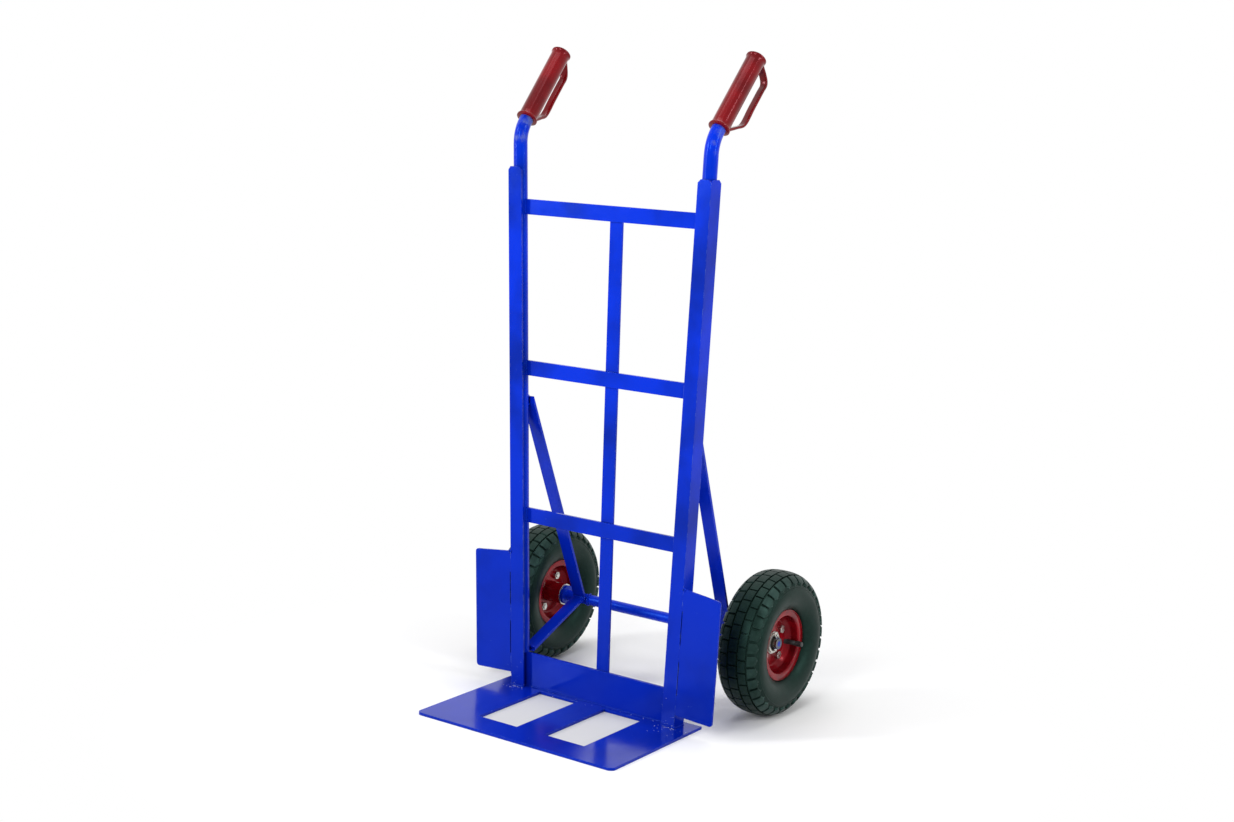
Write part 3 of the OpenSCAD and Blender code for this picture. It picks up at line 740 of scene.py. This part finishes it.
# The axle's ends were masked where the wheels run: bare steel, with paint on the tips only
shaft = Paint("axle_painted")
x_out = shaft.math("ABSOLUTE", shaft.xyz()[0])
tip_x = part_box("axle_shaft")[1].x
run_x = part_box("hub_right")[0].x
dab_r = 0.0054
ragged = shaft.math("ADD", from_axle(shaft), shaft.times(shaft.noise(300.0, 2.0), 0.002))
dab = shaft.times(shaft.step(x_out, tip_x - 0.0012, tip_x - 0.0006),
                  shaft.step(ragged, dab_r + 0.0008, dab_r))
bared = shaft.times(shaft.step(x_out, run_x, run_x + 0.0005), shaft.math("SUBTRACT", 1.0, dab))
shaft_blue = shaft.mix(shaft.step(shaft.noise(7.0, 4.0), 0.38, 0.72), BLUE_DEEP_TONE_AND_SHADE, BLUE)
shaft.set(Base_Color=shaft.mix(bared, shaft_blue, (0.20, 0.20, 0.18)), Metallic=bared)
shaft.set(Roughness=shaft.math("ADD", shaft.times(shaft.noise(60.0, 4.0), 0.25), 0.16))
shaft.set(Specular_IOR_Level=0.6, Specular_Tint=BLUE_SHEEN)
shaft.set(Normal=shaft.relief(shaft.noise(150.0, 3.0), 0.25, 0.0004, shaft.round_edges(0.0010)))
coat(shaft.material, "axle_shaft")


# --------------------------------------------- valve, inner tube, cage and rollers
# The inner tube is soft butyl with a moulded valve stem and a screwed cap. Inside the hub,
# ten steel rollers run in a moulded nylon cage.

moulded = Paint("black_moulded")
moulded.set(Base_Color=moulded.mix(moulded.noise(90.0, 4.0), (0.010, 0.010, 0.011),
                                   (0.022, 0.023, 0.024)))
moulded.set(Roughness=moulded.math("ADD", moulded.times(moulded.noise(300.0, 3.0), 0.3), 0.30))
moulded.set(Normal=moulded.relief(moulded.noise(800.0, 2.0), 0.2, 0.0003, moulded.round_edges(0.0008)))
coat(moulded.material, "inner_tube_left", "inner_tube_right")


def turned(mesh, middle, axis, rows, flutes=0, depth=0.0):
    """A turned solid: rows of distance along the axis and radius, fluted where asked."""
    around = max(28, flutes * 4)
    across = axis.orthogonal().normalized()
    other = axis.cross(across)
    rings = []
    for along, radius, fluted in rows:
        ring = []
        for k in range(around):
            a = 2 * math.pi * k / around
            cut = depth * (0.5 - 0.5 * math.cos(a * flutes)) if fluted else 0.0
            ring.append(mesh.verts.new(middle + axis * along + (radius - cut)
                                       * (across * math.cos(a) + other * math.sin(a))))
        rings.append(ring)
    for a, b in zip(rings, rings[1:]):
        for k in range(around):
            mesh.faces.new((a[k], a[(k + 1) % around], b[(k + 1) % around], b[k]))
    mesh.faces.new(rings[0][::-1])
    mesh.faces.new(rings[-1])


for name, side in sides:
    stem_low, stem_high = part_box("valve_stem_" + name)
    cap_low, cap_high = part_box("valve_cap_" + name)
    out = Vector((side, 0, 0))
    middle = (cap_low + cap_high) / 2
    rim_face = stem_low.x if side > 0 else stem_high.x
    length = abs(middle.x - rim_face) + (cap_high.x - cap_low.x) / 2
    root = Vector((rim_face, middle.y, middle.z))
    stem = bmesh.new()
    turned(stem, root, out, [(0.0045, 0.0030, 0), (0.0048, 0.0066, 0), (0.0062, 0.0070, 0),
                             (0.0078, 0.0056, 0), (0.0105, 0.0050, 0), (0.0150, 0.0044, 0),
                             (length - 0.0150, 0.0041, 0), (length - 0.0145, 0.0032, 0),
                             (length - 0.0115, 0.0030, 0)])
    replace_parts(piece("valve_body_" + name, stem, moulded.material, "wheel_" + name),
                "valve_stem_" + name)
    cap = bmesh.new()
    turned(cap, root, out, [(length - 0.0122, 0.0034, 0), (length - 0.0120, 0.0051, 0),
                            (length - 0.0112, 0.0053, 0), (length - 0.0104, 0.0051, 1),
                            (length - 0.0030, 0.0051, 1), (length - 0.0022, 0.0050, 0),
                            (length - 0.0006, 0.0038, 0), (length - 0.0001, 0.0024, 0)],
           flutes=14, depth=0.0005)
    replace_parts(piece("valve_top_" + name, cap, moulded.material, "wheel_" + name),
                "valve_cap_" + name)

nylon = Paint("cage_nylon")
nylon.set(Base_Color=nylon.mix(nylon.noise(60.0, 3.0), (0.42, 0.30, 0.12), (0.30, 0.20, 0.08)),
          Roughness=0.45)
nylon.set(Normal=nylon.relief(nylon.noise(500.0, 2.0), 0.15, 0.0003, nylon.round_edges(0.0005)))
steel = Paint("roller_steel")
steel.set(Base_Color=steel.mix(steel.noise(400.0, 3.0), (0.55, 0.55, 0.56), (0.38, 0.38, 0.39)),
          Metallic=1.0)
steel.set(Roughness=steel.math("ADD", steel.times(steel.noise(900.0, 2.0), 0.15), 0.18))
for name, side in sides:
    coat(nylon.material, "roller_cage_" + name)
    coat(steel.material, "rollers_" + name)


# ----------------------------------------------------------------------- grips
# Closed hand grips moulded in glossy red plastic: a smooth barrel with a lip at the foot and
# a rimmed, domed end, and a knuckle guard that leaves and joins it in soft fillets.

grip_l, grip_r, lip_r, end_r, bore_r = 0.156, 0.0165, 0.0190, 0.0180, 0.0126
rake = math.radians(41)
guard_turn = math.radians(11)
guard_half_w, guard_half_t, guard_out = 0.00725, 0.0025, 0.042


def grip_frame(s):
    """Foot, axis and the way to the guard of one grip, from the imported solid."""
    axis = (s.up * math.cos(rake) + Vector((0, math.sin(rake), 0))).normalized()
    down = axis.cross(s.out).normalized() * -s.side
    if down.y < 0:
        down.negate()
    points = [v.co for v in nodes["grip_" + s.name].data.vertices]
    level = min(p.dot(axis) for p in points)
    ring = [p for p in points if p.dot(axis) < level + 0.0003]
    foot = axis * level
    for way in (s.out, down):
        reach = [p.dot(way) for p in ring]
        foot += way * (min(reach) + max(reach)) / 2
    guard = down * math.cos(guard_turn) + s.out * math.sin(guard_turn)
    return foot, axis, guard, axis.cross(guard)


def barrel_profile():
    """Distance along the grip and radius, from the bore's blind end round to the tip."""
    rows = [(grip_l - 0.005, 0.0), (grip_l - 0.005, bore_r), (0.0, bore_r), (0.0, lip_r - 0.0008),
            (0.0006, lip_r), (0.0026, lip_r), (0.0034, lip_r - 0.0008), (0.0046, grip_r + 0.0003)]
    rows += [(0.006 + 0.142 * i / 24, grip_r) for i in range(25)]
    rows += [(0.1492, grip_r + 0.0003), (0.1504, end_r - 0.0006), (0.1512, end_r),
             (0.1538, end_r), (0.1548, end_r - 0.0010)]
    rows += [(0.1548 + 0.0012 * math.sin(a), 0.0168 * math.cos(a))
             for a in (0.15, 0.5, 0.8, 1.1, 1.35)]
    return rows + [(grip_l, 0.0)]


def guard_path():
    """Along the grip and out from its axis, through the guard's four bends."""
    corners = [(0.007, 0.0125), (0.0275, 0.0300), (0.0452, guard_out), (0.0800, guard_out),
               (0.1150, guard_out), (0.1326, guard_out - 0.0004), (0.1430, 0.0300), (0.1492, 0.0125)]
    made = []
    for i in range(len(corners) - 1):
        p = [Vector(corners[min(max(i + k, 0), len(corners) - 1)]) for k in (-1, 0, 1, 2)]
        for t in [k / 8 for k in range(8)]:
            made.append(0.5 * (2 * p[1] + (p[2] - p[0]) * t
                               + (2 * p[0] - 5 * p[1] + 4 * p[2] - p[3]) * t ** 2
                               + (3 * p[1] - p[0] - 3 * p[2] + p[3]) * t ** 3))
    return made + [Vector(corners[-1])]


def barrel(mesh, place):
    """The barrel, turned about its own axis from the profile."""
    around = 64
    rings = []
    for along, radius in barrel_profile():
        if radius == 0:
            rings.append([mesh.verts.new(place(along, 0, 0))])
        else:
            rings.append([mesh.verts.new(place(along, radius * math.cos(2 * math.pi * k / around),
                                               radius * math.sin(2 * math.pi * k / around)))
                          for k in range(around)])
    for a, b in zip(rings, rings[1:]):
        for k in range(around):
            n = (k + 1) % around
            corners = [a[k % len(a)], a[n % len(a)], b[n % len(b)], b[k % len(b)]]
            mesh.faces.new(list(dict.fromkeys(corners)))


def guard(mesh, place):
    """A flat strap with round edges, which flares into the barrel at each end."""
    path = guard_path()
    around = 20
    rings = []
    for i, point in enumerate(path):
        along = (path[min(i + 1, len(path) - 1)] - path[max(i - 1, 0)]).normalized()
        out = Vector((-along.y, along.x))
        flare = 1 + 0.35 * max(0, 1 - min(i, len(path) - 1 - i) / 9) ** 2
        ring = []
        for k in range(around):
            a = 2 * math.pi * k / around
            w = math.copysign(abs(math.cos(a)) ** 0.35, math.cos(a)) * guard_half_w * flare
            t = math.copysign(abs(math.sin(a)) ** 0.60, math.sin(a)) * guard_half_t * flare
            spot = point + out * t
            ring.append(mesh.verts.new(place(spot.x, spot.y, w)))
        rings.append(ring)
    for a, b in zip(rings, rings[1:]):
        for k in range(around):
            mesh.faces.new((a[k], a[(k + 1) % around], b[(k + 1) % around], b[k]))
    mesh.faces.new(rings[0][::-1])
    mesh.faces.new(rings[-1])


GRIP_RED = (0.185, 0.0012, 0.0030)
GRIP_DEEP = (0.095, 0.0008, 0.0016)
plastic = Paint("red_plastic")
clouding = plastic.step(plastic.noise(18.0, 3.0), 0.35, 0.7)
plastic.set(Base_Color=plastic.mix(clouding, GRIP_RED, GRIP_DEEP))
plastic.set(Roughness=plastic.math("ADD", plastic.times(plastic.noise(45.0, 4.0), 0.06), 0.14))
plastic.set(Specular_IOR_Level=0.40, Specular_Tint=(1.0, 0.18, 0.24), Coat_Weight=0.14,
            Coat_Roughness=0.10)
plastic.set(Normal=plastic.relief(plastic.noise(30.0, 2.0), 0.15, 0.0006))

for s in (left_side, right_side):
    foot, axis, out, across = grip_frame(s)

    def place(along, away, aside):
        return foot + axis * along + out * away + across * aside

    shell, strap = bmesh.new(), bmesh.new()
    barrel(shell, place)
    guard(strap, place)
    made = piece("grip_moulded_" + s.name, shell, plastic.material, "chassis")
    bmesh.ops.recalc_face_normals(strap, faces=strap.faces)
    tool_mesh = bpy.data.meshes.new("guard_strap")
    strap.to_mesh(tool_mesh)
    strap.free()
    tool = bpy.data.objects.new("guard_strap", tool_mesh)
    bpy.context.scene.collection.objects.link(tool)
    joined = made.modifiers.new("one_moulding", "BOOLEAN")
    joined.operation = "UNION"
    joined.object = tool
    bpy.context.view_layer.update()
    whole = bpy.data.meshes.new_from_object(made.evaluated_get(bpy.context.evaluated_depsgraph_get()))
    made.modifiers.clear()
    made.data = whole
    whole.shade_smooth()
    whole.set_sharp_from_angle(angle=math.radians(40))
    bpy.data.objects.remove(tool)
    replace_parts(made, "grip_" + s.name)


# ------------------------------------------------------------------ studio
# The truck stands on a white sweep under large soft boxes, as a catalogue item does.

def stage_mesh(name, corners, material):
    mesh = bpy.data.meshes.new(name)
    mesh.from_pydata(corners, [], [tuple(range(len(corners)))])
    made = bpy.data.objects.new(name, mesh)
    bpy.context.scene.collection.objects.link(made)
    mesh.materials.append(material)


floor_paint = Paint("white_floor")
floor_paint.set(Roughness=0.8, Specular_IOR_Level=0.0)
far_off = floor_paint.node("VectorMath", operation="LENGTH")
floor_paint.join(floor_paint.place(), far_off.inputs[0])
sweep = floor_paint.step(far_off.outputs["Value"], 0.42, 0.85)
# Little light reaches the floor under the toe plate, so it is greyer there
toe_low, toe_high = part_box("toe_plate")
fade = 0.03
x, y = floor_paint.xyz()[:2]
between = floor_paint.step(floor_paint.math("ABSOLUTE", x), toe_high.x, toe_high.x - fade)
behind = floor_paint.step(y, toe_low.y, toe_low.y + fade)
before = floor_paint.step(y, toe_high.y, toe_high.y - fade)
under = floor_paint.times(floor_paint.times(between, behind), before)
floor_paint.set(Base_Color=floor_paint.mix(under, (0.97, 0.97, 0.97), (0.66, 0.66, 0.66)))
blank = floor_paint.node("Emission")
blank.inputs["Color"].default_value = (1, 1, 1, 1)
either = floor_paint.node("MixShader")
floor_paint.join(sweep, either.inputs["Fac"])
floor_paint.join(floor_paint.shader.outputs["BSDF"], either.inputs[1])
floor_paint.join(blank.outputs["Emission"], either.inputs[2])
floor_paint.join(either.outputs["Shader"], floor_paint.tree.nodes["Material Output"].inputs["Surface"])
reach = 30.0
stage_mesh("floor", [(-reach, -reach, 0), (reach, -reach, 0), (reach, reach, 0), (-reach, reach, 0)],
           floor_paint.material)


def soft_box(name, place, aim, width, height, watts):
    data = bpy.data.lights.new(name, "AREA")
    data.shape = "RECTANGLE"
    data.size = width
    data.size_y = height
    data.energy = watts
    made = bpy.data.objects.new(name, data)
    bpy.context.scene.collection.objects.link(made)
    made.location = place
    made.rotation_euler = (Vector(aim) - Vector(place)).to_track_quat("-Z", "Y").to_euler()


soft_box("strip_left", (-2.3, -2.6, 1.9), (0, 0, 0.65), 0.60, 2.4, 62)
soft_box("strip_right", (3.3, 0.3, 1.9), (0, 0, 0.65), 0.60, 2.4, 40)
soft_box("front", (0.6, -4.2, 2.6), (0, 0, 0.75), 1.2, 1.6, 60)
soft_box("top", (0.0, 0.5, 3.6), (0, 0, 0.3), 2.4, 2.4, 42)

world = bpy.data.worlds.new("studio")
bpy.context.scene.world = world
world.use_nodes = True
tree = world.node_tree
seen = tree.nodes.new("ShaderNodeLightPath")
white = tree.nodes.new("ShaderNodeBackground")
white.inputs["Color"].default_value = (1, 1, 1, 1)
white.inputs["Strength"].default_value = 1.0
fill = tree.nodes["Background"]
fill.inputs["Color"].default_value = (1, 1, 1, 1)
fill.inputs["Strength"].default_value = 0.48
straight = tree.nodes.new("ShaderNodeMath")
tree.links.new(seen.outputs["Is Camera Ray"], straight.inputs[0])
tree.links.new(seen.outputs["Is Glossy Ray"], straight.inputs[1])
through = tree.nodes.new("ShaderNodeMath")
through.use_clamp = True
tree.links.new(straight.outputs["Value"], through.inputs[0])
tree.links.new(seen.outputs["Is Transmission Ray"], through.inputs[1])
backing = tree.nodes.new("ShaderNodeMixShader")
tree.links.new(through.outputs["Value"], backing.inputs["Fac"])
tree.links.new(fill.outputs["Background"], backing.inputs[1])
tree.links.new(white.outputs["Background"], backing.inputs[2])
tree.links.new(backing.outputs["Shader"], tree.nodes["World Output"].inputs["Surface"])

# The camera stands to the right of the truck at handle height, with a slight clockwise roll
camera = bpy.data.objects.new("camera", bpy.data.cameras.new("camera"))
bpy.context.scene.collection.objects.link(camera)
yaw, pitch, roll = math.radians(35.55), math.radians(-10.22), math.radians(1.83)
ahead = Vector((-math.sin(yaw) * math.cos(pitch), math.cos(yaw) * math.cos(pitch), math.sin(pitch)))
level = Vector((math.cos(yaw), math.sin(yaw), 0))
sideways = math.cos(roll) * level + math.sin(roll) * level.cross(ahead)
camera.matrix_world = Matrix((sideways, sideways.cross(ahead), -ahead)).transposed().to_4x4()
camera.location = (1.8885, -2.5887, 1.1192)
camera.data.sensor_width = 36
camera.data.lens = 54.68
camera.data.clip_start = 0.1
camera.data.clip_end = 60
bpy.context.scene.camera = camera
bpy.context.scene.view_settings.view_transform = "Standard"
